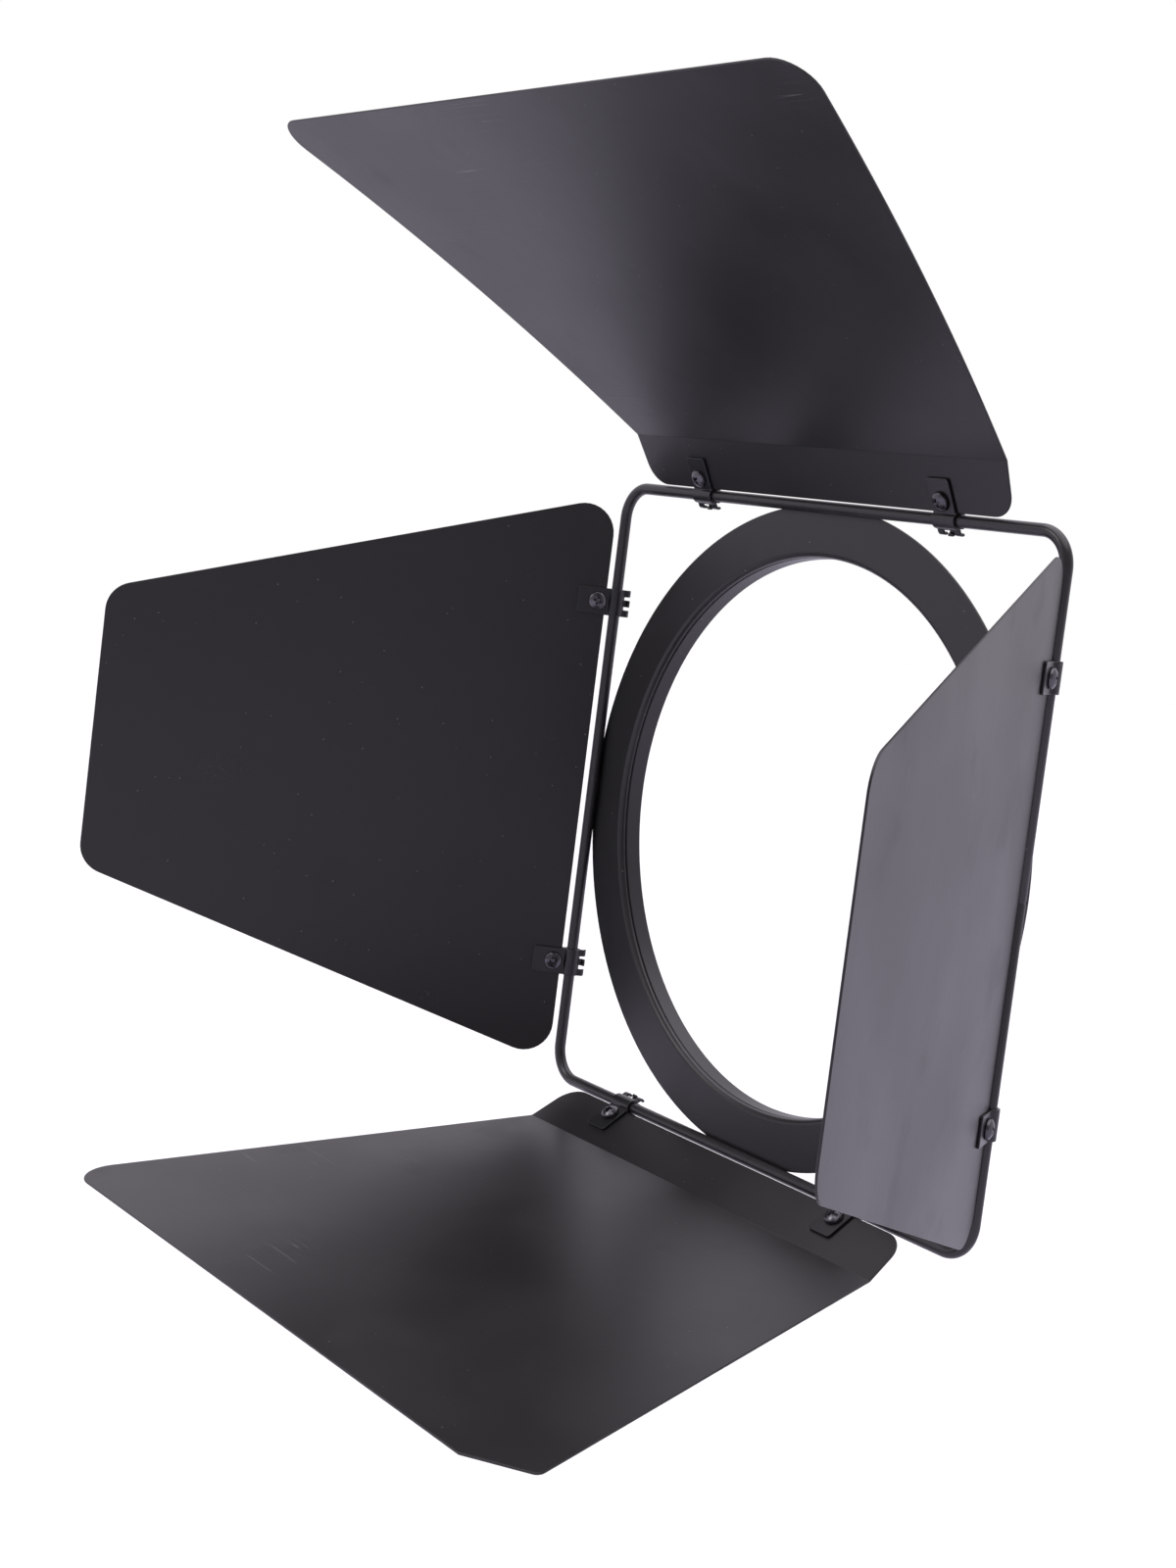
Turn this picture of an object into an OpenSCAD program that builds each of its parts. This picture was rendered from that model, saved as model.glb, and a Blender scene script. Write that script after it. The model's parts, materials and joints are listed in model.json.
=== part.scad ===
// Four-leaf barn door for a large parabolic theatre lantern.
// A spun and flanged steel ring carries a square of bent steel rod. Each side of the square is
// the hinge pin of one sheet-steel leaf, held by two pairs of pressed clips and a screw each.
// +Y runs back along the beam axis, into the lantern. The leaves fan out towards -Y, +Z is up.
// The origin is the centre of the ring collar's back rim.

/* [Rod frame] */
// Centre to centre width of the square rod frame
frame_w = 245; // [230:0.5:260]
// Diameter of the frame rod
rod_d = 4.5; // [4:0.1:5]
// Centreline radius of the frame's bent corners
corner_r = 12.5; // [8:0.5:16]

/* [Ring] */
// Outside diameter of the ring's flat face
ring_od = 247; // [246:0.5:248]
// Diameter of the beam aperture
aperture_d = 208; // [190:1:212]
// Thickness of the ring's sheet
ring_t = 1.2; // [0.8:0.1:1.6]
// Depth of the ring from its front face to the collar's back rim
ring_depth = 10; // [6:0.5:16]
// Outside radius of the bend between the flat face and the collar
ring_bend_r = 2.2; // [1.8:0.1:3]

/* [Leaves] */
// Thickness of the leaves' sheet
leaf_t = 0.8; // [0.6:0.1:1]
// Corner radius of the side leaves, and of the free corners of the top and bottom leaves
leaf_corner_r = 12; // [6:1:16]

/* [Side leaves] */
// Distance from a rod's axis to its side leaf's hinge edge
side_gap = 4.2; // [3:0.1:5]
// Width of a side leaf along its hinge edge
side_hinge_w = 236.6; // [220:0.2:240]
// Width of a side leaf along its free edge
side_free_w = 113.6; // [90:0.2:140]
// Distance from a rod's axis to its side leaf's free edge
side_reach = 205; // [150:1:220]

/* [Top and bottom leaves] */
// Distance from a rod's axis to the hinge edge of its top or bottom leaf
wide_gap = 3; // [2.8:0.1:4.2]
// Distance from a rod's axis to the fold across its leaf
fold_reach = 24; // [20:0.5:30]
// Angle of that fold, towards the beam
fold_a = 25; // [15:1:30]
// Width of the root strip along its hinge edge
root_hinge_w = 200.4; // [180:0.2:206]
// Width of the leaf at the fold
root_fold_w = 206.4; // [190:0.2:210]
// Width of the leaf along its free edge
wide_free_w = 309.2; // [240:0.2:320]
// Length of the panel from the fold to the free edge
panel_l = 178.6; // [120:0.2:190]
// Corner radius of the root strip
root_corner_r = 10; // [4:1:12]
// Length that the bottom leaf's cut corner, near +X, takes off the free edge
cut_along = 28; // [16:1:32]
// Length that the same cut takes off the panel's side, measured square to the free edge
cut_down = 12; // [8:1:16]
// Angle through which the top leaf's panel is bowed towards the beam
top_bow_a = 8.4; // [4:0.2:12]

/* [Leaf positions] */
// Top leaf's angle out from straight ahead
top_a = 62; // [0:1:90]
// Bottom leaf's angle out from straight ahead
bottom_a = 34; // [0:1:90]
// Left leaf's angle out from straight ahead
left_a = 31; // [0:1:90]
// Right leaf's angle out from straight ahead
right_a = 32; // [0:1:90]
// How far the top leaf sits off centre along its rod, towards -X
top_shift = 3; // [0:0.5:5]
// How far the bottom leaf sits off centre along its rod, towards -X
bottom_shift = 5.5; // [0:0.5:7]

/* [Clips] */
// Width of a clip along the rod
clip_w = 11; // [9:0.5:13]
// Distance from a rod's axis to the end of a clip's pad
clip_reach = 16; // [14:0.5:18]
// Thickness of a clip plate
clip_t = 1; // [0.8:0.1:1.2]
// Radial clearance between a rod and the clips that turn on it
hinge_gap = 0.05; // [0.02:0.01:0.1]
// Distance between clip centres on a side leaf
side_clip_pitch = 150; // [130:1:170]
// Distance between clip centres on the top and bottom leaves
wide_clip_pitch = 136; // [130:1:150]

/* [Screws] */
// Distance from a rod's axis to the clip screws
screw_v = 7.6; // [7.4:0.1:9]
// Thread diameter of the clip screws
screw_d = 4; // [3:0.5:4]
// Diameter of the screw's pan head
head_d = 7.4; // [6:0.2:8]
// Height of the screw's pan head
head_h = 2.4; // [2:0.1:2.8]
// Width across the flats of the nut
nut_af = 7; // [6:0.1:7.2]
// Height of the nut
nut_h = 3.2; // [2.4:0.1:3.4]

/* [Hidden] */
$fn = 96;
ring_fn = 180;
// How far shapes that join lap over each other, and how far a cut runs past what it cuts
tiny = 0.01;
over = 1;
rod_r = rod_d / 2;
half_frame = frame_w / 2;
rod_y = -(ring_depth + rod_r);

// Resistance weld nuggets that join the rods to the ring's flat face
weld_w = 2.4;
weld_l = 14;
weld_h = 0.3;

// Groove left where the frame rod's two ends butt together
butt_w = 0.4;
butt_h = 0.25;

// Fold across the top and bottom leaves: its tangent length either side of the fold line, where
// the panel's sheet starts from that line, how far the outlines of the two flats run past the
// line, and how much of its outline's free edge a bowed sheet leaves
fold_in_r = 1;
fold_tangent = (fold_in_r + leaf_t / 2) * tan(fold_a / 2);
panel_start = fold_tangent / 2;
past_fold = 2;
past_r = 0.5;
bow_trim = 0.05;
bow_fn = 360;
// Radius left at both ends of the bottom leaf's cut corner
cut_r = 3;
// Height of the outlines that trim a bent sheet
plan_h = 80;

// Clip fingers: each plate hooks over the other beyond the rod
finger_w = 2.8;
finger_offset = (clip_w - finger_w) / 2;
hook_v = 4;
hook_in_r = 0.8;
hook_drop = 0.6;
pad_corner_r = 1.2;
channel_r = rod_r + hinge_gap;
clip_in = leaf_t / 2;
clip_out = clip_in + clip_t;

// Screw and nut details
hole_d = screw_d + 0.4;
thread_gap = 0.05;
screw_end = 0.8;
head_dome_r = 5.5;
recess_w = 1.1;
recess_l = 4.2;
recess_h = 1.5;
chamfer = 0.4;

// One entry per leaf: name, turn about the beam axis, opening angle, shift along the rod,
// clip pitch, and 1 where the screw heads face the beam or -1 where they face outwards
NAME = 0;
TURN = 1;
OPEN = 2;
SHIFT = 3;
PITCH = 4;
FACE = 5;
LEAVES = [
    ["top", 0, top_a, -top_shift, wide_clip_pitch, 1],
    ["bottom", 180, bottom_a, bottom_shift, wide_clip_pitch, 1],
    ["left", -90, left_a, 0, side_clip_pitch, 1],
    ["right", 90, right_a, 0, side_clip_pitch, -1],
];
ENDS = [-1, 1];
CLIP_PIECES = ["clip_inner", "clip_outer", "screw", "nut"];

// Every clip is named after its leaf and the end of the leaf that it is near
function end_name(leaf, end) =
    leaf[NAME] == "top" ? (end < 0 ? "left" : "right") :
    leaf[NAME] == "bottom" ? (end < 0 ? "right" : "left") :
    leaf[NAME] == "left" ? (end < 0 ? "lower" : "upper") :
    (end < 0 ? "upper" : "lower");
function clip_name(leaf, end, piece) = str(leaf[NAME], "_", end_name(leaf, end), "_", piece);

// ---- Frames of reference ----

// Moves a shape onto one side of the frame: X runs along the rod, Z points away from the beam
module on_side(turn) {
    rotate([0, turn, 0]) translate([0, rod_y, half_frame]) children();
}

// Moves a shape into a leaf's own frame: X runs along the hinge, Y from the rod towards the
// leaf's free edge, and Z out of the leaf's inner face, towards the beam
module on_leaf(leaf) {
    on_side(leaf[TURN]) rotate([180 - leaf[OPEN], 0, 0]) translate([leaf[SHIFT], 0, 0]) children();
}

// Extrudes a section drawn in the leaf's Y and Z along the hinge
module along_hinge(w) {
    rotate([90, 0, 90]) linear_extrude(w, center = true) children();
}

// ---- Plane shapes ----

// Convex polygon, points anticlockwise, each corner rounded to its own radius
function unit(v) = v / norm(v);
function corner(pts, i) =
    let (n = len(pts), a = unit(pts[(i + n - 1) % n] - pts[i]), b = unit(pts[(i + 1) % n] - pts[i]),
         half = acos(a * b) / 2)
    [a, b, half];
module rounded_polygon(pts, radii) {
    corners = [for (i = [0 : len(pts) - 1]) corner(pts, i)];
    polygon([
        for (i = [0 : len(pts) - 1])
            for (side = [0, 1]) pts[i] + corners[i][side] * radii[i] / tan(corners[i][2])
    ]);
    for (i = [0 : len(pts) - 1])
        translate(pts[i] + unit(corners[i][0] + corners[i][1]) * radii[i] / sin(corners[i][2]))
            circle(radii[i]);
}

// Symmetric trapezoid from y0 to y1 with rounded corners
module trapezoid(w0, w1, y0, y1, r0, r1) {
    rounded_polygon(
        [[-w0 / 2, y0], [w0 / 2, y0], [w1 / 2, y1], [-w1 / 2, y1]],
        [r0, r0, r1, r1]
    );
}

// Part of a flat ring between two radii, from angle a0 to a1 (under 90 degrees apart)
module sector(r_in, r_out, a0, a1, fn = $fn) {
    reach = 2 * r_out;
    intersection() {
        difference() {
            circle(r_out, $fn = fn);
            circle(r_in, $fn = fn);
        }
        polygon([[0, 0], reach * [cos(a0), sin(a0)], reach * [cos(a1), sin(a1)]]);
    }
}

// ---- Ring and rod frame ----

// Half section of the ring: flat face, bend and collar
module ring_section() {
    bend_x = aperture_d / 2 + ring_bend_r;
    bend_y = ring_bend_r - ring_depth;
    translate([bend_x, -ring_depth]) square([ring_od / 2 - bend_x, ring_t]);
    translate([aperture_d / 2, bend_y]) square([ring_t, -bend_y]);
    translate([bend_x, bend_y]) sector(ring_bend_r - ring_t, ring_bend_r, 180, 270);
}

module mounting_ring() {
    color("#2b2a2c")
        rotate([-90, 0, 0]) rotate_extrude($fn = ring_fn) ring_section();
}

// Nugget that joins a rod to the ring, seen from the side: a flat pad sunk into the rod
module weld_pad() {
    translate([0, rod_r - weld_h / 2, 0]) cube([weld_l, weld_h, weld_w], center = true);
}

module weld(turn) {
    color("#2b2a2c") on_side(turn) weld_pad();
}

// One straight side and one bent corner of the frame rod
module rod_side() {
    straight = frame_w - 2 * corner_r;
    rotate([0, 90, 0]) cylinder(r = rod_r, h = straight, center = true);
    translate([straight / 2, 0, -corner_r])
        rotate([90, 0, 0]) rotate_extrude(angle = 90) translate([corner_r, 0]) circle(rod_r);
}

module butt_groove() {
    rotate([0, 90, 0]) difference() {
        cylinder(r = rod_r + over, h = butt_w, center = true);
        cylinder(r = rod_r - butt_h, h = butt_w + over, center = true);
    }
}

module rod_frame() {
    color("#2e2d30") difference() {
        for (leaf = LEAVES) on_side(leaf[TURN]) rod_side();
        for (leaf = LEAVES) on_side(leaf[TURN]) weld_pad();
        on_side(90) butt_groove();
    }
}

// ---- Leaves ----

module screw_holes(leaf) {
    for (end = ENDS)
        translate([end * leaf[PITCH] / 2, screw_v, 0])
            cylinder(d = hole_d, h = 4 * leaf_t, center = true);
}

// Flat leaf that narrows from the hinge to the free edge
module side_leaf(leaf) {
    color("#232122") on_leaf(leaf) difference() {
        linear_extrude(leaf_t, center = true)
            trapezoid(side_hinge_w, side_free_w, side_gap, side_reach, leaf_corner_r, leaf_corner_r);
        screw_holes(leaf);
    }
}

// Section of the folded leaf up to the end of its fold; the fold's inside faces the beam
module root_section() {
    flat_end = fold_reach - fold_tangent;
    translate([wide_gap, -leaf_t / 2]) square([flat_end - wide_gap, leaf_t]);
    translate([flat_end, leaf_t / 2 + fold_in_r])
        sector(fold_in_r, fold_in_r + leaf_t, -90, fold_a - 90);
}

// Section of the panel beyond the fold, drawn along its own Y as far as the free edge, and bowed
// towards +Z if bow is over 0
module panel_section(bow, free_edge) {
    if (bow > 0) {
        bow_r = panel_l / (bow * PI / 180);
        end_a = asin((free_edge - bow_trim - panel_start) / bow_r);
        translate([panel_start, bow_r])
            sector(bow_r - leaf_t / 2, bow_r + leaf_t / 2, -90, end_a - 90, bow_fn);
    } else {
        translate([panel_start, -leaf_t / 2]) square([panel_l, leaf_t]);
    }
}

// Moves a shape from the panel's own frame, which starts at the fold line, into the leaf's frame
module on_panel() {
    translate([0, fold_reach, 0]) rotate([fold_a, 0, 0]) children();
}

// Outline of the panel, from past the fold line to its free edge. Its corner at the -X end is
// rounded, or cut off straight.
module panel_outline(free_edge, cut) {
    half = wide_free_w / 2;
    taper = (wide_free_w - root_fold_w) / 2 / panel_l;
    past_half = root_fold_w / 2 - past_fold * taper;
    cut_ends = [[cut_along - half, free_edge], [cut_down * taper - half, free_edge - cut_down]];
    rounded_polygon(
        concat(
            [[-past_half, -past_fold], [past_half, -past_fold], [half, free_edge]],
            cut ? cut_ends : [[-half, free_edge]]
        ),
        concat([past_r, past_r, leaf_corner_r], cut ? [cut_r, cut_r] : [leaf_corner_r])
    );
}

// Leaf that widens beyond a fold close to its hinge. Both outlines are as wide as the leaf at
// the fold line, and keep their own taper where they run past it.
module wide_leaf(leaf, bow, cut) {
    root_past_w = past_fold * (root_fold_w - root_hinge_w) / (fold_reach - wide_gap);
    free_edge = panel_l * cos(bow / 2);
    color("#2a282c") on_leaf(leaf) {
        difference() {
            intersection() {
                along_hinge(root_fold_w) root_section();
                linear_extrude(plan_h, center = true)
                    trapezoid(
                        root_hinge_w, root_fold_w + root_past_w, wide_gap,
                        fold_reach + past_fold, root_corner_r, past_r
                    );
            }
            screw_holes(leaf);
        }
        on_panel() intersection() {
            along_hinge(2 * wide_free_w) panel_section(bow, free_edge);
            linear_extrude(plan_h, center = true) panel_outline(free_edge, cut);
        }
    }
}

// ---- Clips and fasteners ----

// Section of a clip plate that lies on the leaf's inner face and arches over the rod
module clip_section() {
    overlap = channel_r + clip_t / 2;
    translate([overlap, clip_in]) square([clip_reach - overlap, clip_t]);
    difference() {
        circle(channel_r + clip_t);
        circle(channel_r);
        translate([-clip_reach, clip_in - 2 * clip_reach]) square(2 * clip_reach);
    }
}

// Section of a finger: a short bridge beyond the rod, then a hook curled to the other face
module finger_section() {
    hook_r = hook_in_r + clip_t;
    translate([-hook_v, clip_in]) square([hook_v - channel_r - clip_t / 2, clip_t]);
    translate([-hook_v, clip_in - hook_in_r]) difference() {
        circle(hook_r);
        circle(hook_in_r);
        translate([0, -hook_r]) square(2 * hook_r);
        translate([-hook_r, -2 * hook_r - hook_drop]) square(2 * hook_r);
    }
}

// Plan of a clip, with the two corners of its pad rounded
module clip_plan() {
    back = hook_v + hook_in_r + clip_t + over;
    rounded_polygon(
        [[-clip_w / 2, -back], [clip_w / 2, -back], [clip_w / 2, clip_reach], [-clip_w / 2, clip_reach]],
        [tiny, tiny, pad_corner_r, pad_corner_r]
    );
}

// Clip plate for the inner face, with its fingers at the given offsets
module clip_plate(finger_at) {
    difference() {
        intersection() {
            union() {
                along_hinge(clip_w) clip_section();
                for (x = finger_at) translate([x, 0, 0]) along_hinge(finger_w) finger_section();
            }
            linear_extrude(4 * channel_r + 4 * clip_t, center = true) clip_plan();
        }
        translate([0, screw_v, 0]) cylinder(d = hole_d, h = 4 * clip_out);
    }
}

// Pan head with a cross recess, shank and chamfered end, seated on the plane Z = 0
module pan_screw() {
    grip = 2 * clip_out + nut_h + screw_end;
    difference() {
        rotate_extrude() intersection() {
            square([head_d / 2, head_h]);
            translate([0, head_h - head_dome_r]) circle(head_dome_r);
        }
        for (a = [45, 135])
            rotate([0, 0, a]) translate([-recess_l / 2, -recess_w / 2, head_h - recess_h])
                cube([recess_l, recess_w, head_h]);
    }
    rotate_extrude() polygon([
        [0, tiny], [screw_d / 2, tiny], [screw_d / 2, chamfer - grip],
        [screw_d / 2 - chamfer, -grip], [0, -grip]
    ]);
}

// Hexagon nut with chamfered corners, standing on the plane Z = 0
module hex_nut() {
    corner_d = nut_af / cos(30);
    edge_r = nut_af / 2;
    difference() {
        intersection() {
            cylinder(d = corner_d, h = nut_h, $fn = 6);
            rotate_extrude() polygon([
                [0, 0], [edge_r, 0], [corner_d / 2 + tiny, chamfer],
                [corner_d / 2 + tiny, nut_h - chamfer], [edge_r, nut_h], [0, nut_h]
            ]);
        }
        translate([0, 0, -over])
            cylinder(d = screw_d + 2 * thread_gap, h = nut_h + 2 * over);
    }
}

// One piece of the clip at one end of a leaf. The inner plate carries the two outer fingers,
// and the outer plate is turned over and carries the middle one.
module clip_piece(leaf, end, piece) {
    color("#26262b") on_leaf(leaf) translate([end * leaf[PITCH] / 2, 0, 0]) {
        if (piece == "clip_inner") clip_plate([-finger_offset, finger_offset]);
        if (piece == "clip_outer") mirror([0, 0, 1]) clip_plate([0]);
        mirror([0, 0, leaf[FACE] > 0 ? 0 : 1]) translate([0, screw_v, 0]) {
            if (piece == "screw") translate([0, 0, clip_out]) pan_screw();
            if (piece == "nut") translate([0, 0, -clip_out - nut_h]) hex_nut();
        }
    }
}

// ---- Nodes ----

mounting_ring();
rod_frame();
wide_leaf(LEAVES[0], top_bow_a, false);  // top_leaf
wide_leaf(LEAVES[1], 0, true);  // bottom_leaf
side_leaf(LEAVES[2]);  // left_leaf
side_leaf(LEAVES[3]);  // right_leaf
for (leaf = LEAVES) {
    weld(leaf[TURN]);
    for (end = ENDS, piece = CLIP_PIECES)
        clip_piece(leaf, end, piece);
}
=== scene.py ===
import collections
import json
import math
import random

import bmesh
import bpy
from mathutils import Euler, Matrix, Vector
from mathutils.geometry import delaunay_2d_cdt


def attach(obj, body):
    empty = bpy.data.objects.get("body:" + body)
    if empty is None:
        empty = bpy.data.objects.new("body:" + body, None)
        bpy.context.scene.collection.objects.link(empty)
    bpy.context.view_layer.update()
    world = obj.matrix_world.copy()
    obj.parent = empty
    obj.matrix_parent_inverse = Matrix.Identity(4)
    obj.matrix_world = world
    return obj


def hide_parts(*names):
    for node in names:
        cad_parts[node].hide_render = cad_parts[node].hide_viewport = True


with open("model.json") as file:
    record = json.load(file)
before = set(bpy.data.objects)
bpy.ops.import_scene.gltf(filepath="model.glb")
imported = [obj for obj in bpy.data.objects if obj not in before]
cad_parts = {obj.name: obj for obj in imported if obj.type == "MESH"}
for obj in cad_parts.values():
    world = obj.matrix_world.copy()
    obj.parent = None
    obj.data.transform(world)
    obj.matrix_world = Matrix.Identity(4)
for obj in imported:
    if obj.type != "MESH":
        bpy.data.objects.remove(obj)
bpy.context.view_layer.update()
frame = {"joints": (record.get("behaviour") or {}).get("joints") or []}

# ---- Camera ----
# It stands to the right of the lantern's beam and in front of the open doors, a little above the
# middle of the ring, and is tilted down and rolled slightly. The frame is shifted downwards.

CAMERA_PLACE = (0.67195, -0.59302, 0.10764)
CAMERA_TILT = 85.11
CAMERA_ROLL = -7.07
CAMERA_HEADING = 54.73
CAMERA_LENS = 55.06
CAMERA_SHIFT = -0.0383
NEAR_CLIP = 0.01

camera = bpy.data.objects.new("camera", bpy.data.cameras.new("camera"))
camera.location = CAMERA_PLACE
camera.rotation_euler = Euler(
    (math.radians(CAMERA_TILT), math.radians(CAMERA_ROLL), math.radians(CAMERA_HEADING))
)
camera.data.lens = CAMERA_LENS
camera.data.shift_y = CAMERA_SHIFT
camera.data.clip_start = NEAR_CLIP
bpy.context.scene.collection.objects.link(camera)
bpy.context.scene.camera = camera

# ---- Studio ----
# A pale floor below the lowest sweep of the doors, in a white tent that is dimmer on the
# camera's side, with a broad soft light from overhead and a small one at the front left.

FLOOR_DROP = 0.36
FLOOR_SIZE = 14.0
FLOOR_CORNERS = ((-1, -1), (1, -1), (1, 1), (-1, 1))
PAPER_TINT = (0.84, 0.86, 0.83)
# Colour the floor takes only where it is seen in reflections: a painted reflection, dimmer and
# lilac, on the black leaves
PAPER_PAINTED_REFLECTION = (0.645, 0.635, 0.72)
PAPER_ROUGHNESS = 0.9
TENT_TINT = (1.05, 0.985, 1.10)
TENT_FAR = 0.86
TENT_NEAR = 0.36
TENT_TURN = (-0.4, 0.9)
OVERHEAD_POWER = 2.0
OVERHEAD_SPREAD = 80
OVERHEAD_TINT = (1.0, 0.965, 1.02)
FRONT_POWER = 7
FRONT_SIZE = 0.7
FRONT_PLACE = (-0.7, -1.5, 1.1)

bpy.context.scene.view_settings.view_transform = "Standard"
floor_mesh = bpy.data.meshes.new("floor")
floor_mesh.from_pydata(
    [(x * FLOOR_SIZE / 2, y * FLOOR_SIZE / 2, -FLOOR_DROP) for x, y in FLOOR_CORNERS],
    [], [(0, 1, 2, 3)],
)
floor = bpy.data.objects.new("floor", floor_mesh)
bpy.context.scene.collection.objects.link(floor)
paper = bpy.data.materials.new("pale_paper")
paper.use_nodes = True
paper_shader = paper.node_tree.nodes["Principled BSDF"]
# The floor's colour switches for glossy rays, which paints the leaves' reflections of it dimmer and
# lilac
mirrored = paper.node_tree.nodes.new("ShaderNodeLightPath")
paper_tone = paper.node_tree.nodes.new("ShaderNodeMix")
paper_tone.data_type = "RGBA"
paper_tone.inputs["A"].default_value = (*PAPER_TINT, 1)
paper_tone.inputs["B"].default_value = (*PAPER_PAINTED_REFLECTION, 1)
paper.node_tree.links.new(mirrored.outputs["Is Glossy Ray"], paper_tone.inputs["Factor"])
paper.node_tree.links.new(paper_tone.outputs["Result"], paper_shader.inputs["Base Color"])
paper_shader.inputs["Roughness"].default_value = PAPER_ROUGHNESS
floor_mesh.materials.append(paper)

tent = bpy.data.worlds.new("white_tent")
bpy.context.scene.world = tent
tent.use_nodes = True
tent_tree = tent.node_tree
tent_tree.nodes.clear()
to_camera = Vector(CAMERA_PLACE).normalized()
direction = tent_tree.nodes.new("ShaderNodeTexCoord")
facing = tent_tree.nodes.new("ShaderNodeVectorMath")
facing.operation = "DOT_PRODUCT"
facing.inputs[1].default_value = to_camera
level = tent_tree.nodes.new("ShaderNodeMapRange")
level.interpolation_type = "SMOOTHSTEP"
level.inputs["From Min"].default_value, level.inputs["From Max"].default_value = TENT_TURN
level.inputs["To Min"].default_value = TENT_FAR
level.inputs["To Max"].default_value = TENT_NEAR
cloth_light = tent_tree.nodes.new("ShaderNodeBackground")
cloth_light.inputs["Color"].default_value = (*TENT_TINT, 1)
backdrop = tent_tree.nodes.new("ShaderNodeBackground")
backdrop.inputs["Color"].default_value = (1, 1, 1, 1)
seen = tent_tree.nodes.new("ShaderNodeLightPath")
choice = tent_tree.nodes.new("ShaderNodeMixShader")
tent_out = tent_tree.nodes.new("ShaderNodeOutputWorld")
tent_tree.links.new(direction.outputs["Generated"], facing.inputs[0])
tent_tree.links.new(facing.outputs["Value"], level.inputs["Value"])
tent_tree.links.new(level.outputs["Result"], cloth_light.inputs["Strength"])
tent_tree.links.new(seen.outputs["Is Camera Ray"], choice.inputs["Fac"])
tent_tree.links.new(cloth_light.outputs[0], choice.inputs[1])
tent_tree.links.new(backdrop.outputs[0], choice.inputs[2])
tent_tree.links.new(choice.outputs[0], tent_out.inputs[0])

overhead = bpy.data.objects.new("overhead_light", bpy.data.lights.new("overhead_light", "SUN"))
overhead.data.energy = OVERHEAD_POWER
overhead.data.color = OVERHEAD_TINT
overhead.data.angle = math.radians(OVERHEAD_SPREAD)
front = bpy.data.objects.new("front_light", bpy.data.lights.new("front_light", "AREA"))
front.data.size = FRONT_SIZE
front.data.energy = FRONT_POWER
front.location = FRONT_PLACE
front.rotation_euler = (-Vector(FRONT_PLACE)).to_track_quat("-Z", "Y").to_euler()
for lamp in (overhead, front):
    bpy.context.scene.collection.objects.link(lamp)

# ---- Mounting ring ----
# A ring spun from 1.2 mm mild steel sheet: a flat face for the rods, and an inner edge turned
# back through a small bend into a short collar, with the roller's groove where the two meet.
# It is powder coated satin black, like the rods.

mm = 0.001
RING_FACE_R = 123.5 * mm
RING_HOLE_R = 104 * mm
RING_DEPTH = 10 * mm
RING_SHEET = 1.2 * mm
RING_BEND_R = 2.2 * mm
RING_EDGE_R = 0.35 * mm
RING_STEPS = 288
GROOVE_W = 1 * mm
GROOVE_DEPTH = 0.7 * mm
GROOVE_AFTER_BEND = 0.1 * mm
GROOVE_STEPS = 12
GROOVE_ROUND = 0.7
COLLAR_FLAT = 0.3 * mm
RING_BLACK = (0.0118, 0.0112, 0.0122)
WORN_AND_HIGHLIGHT_GREY = (0.16, 0.155, 0.165)
DUST_GREY = (0.38, 0.37, 0.37)


def new_group(name, inputs, outputs):
    """An empty shader node group with its named sockets, and its input and output nodes."""
    group = bpy.data.node_groups.new(name, "ShaderNodeTree")
    for socket in inputs:
        group.interface.new_socket(socket, in_out="INPUT", socket_type="NodeSocketFloat")
    for socket in outputs:
        group.interface.new_socket(socket, in_out="OUTPUT", socket_type="NodeSocketFloat")
    return group, group.nodes.new("NodeGroupInput"), group.nodes.new("NodeGroupOutput")


def number(tree, operation, a, b=None, clamp=False):
    """A math node on two values, each a socket or a plain number; gives its output."""
    node = tree.nodes.new("ShaderNodeMath")
    node.operation = operation
    node.use_clamp = clamp
    for place, value in enumerate((a, b)):
        if value is None:
            continue
        if isinstance(value, bpy.types.NodeSocket):
            tree.links.new(value, node.inputs[place])
        else:
            node.inputs[place].default_value = value
    return node.outputs[0]


def fade(tree, value, low, high, out_low=0.0, out_high=1.0):
    """Maps a value smoothly from one range to another."""
    node = tree.nodes.new("ShaderNodeMapRange")
    node.interpolation_type = "SMOOTHSTEP"
    tree.links.new(value, node.inputs["Value"])
    limits = {"From Min": low, "From Max": high, "To Min": out_low, "To Max": out_high}
    for socket, amount in limits.items():
        node.inputs[socket].default_value = amount
    return node.outputs["Result"]


def cloud(tree, scale, detail=2.0, stretch=None):
    """Noise over the piece, with features of about one over scale metres; gives its value."""
    where = tree.nodes.new("ShaderNodeTexCoord")
    noise = tree.nodes.new("ShaderNodeTexNoise")
    noise.inputs["Detail"].default_value = detail
    if isinstance(scale, bpy.types.NodeSocket):
        tree.links.new(scale, noise.inputs["Scale"])
    else:
        noise.inputs["Scale"].default_value = scale
    if stretch:
        turn = tree.nodes.new("ShaderNodeMapping")
        turn.inputs["Rotation"].default_value = stretch[0]
        turn.inputs["Scale"].default_value = stretch[1]
        tree.links.new(where.outputs["Object"], turn.inputs["Vector"])
        tree.links.new(turn.outputs["Vector"], noise.inputs["Vector"])
    else:
        tree.links.new(where.outputs["Object"], noise.inputs["Vector"])
    return noise.outputs["Fac"]


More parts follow.
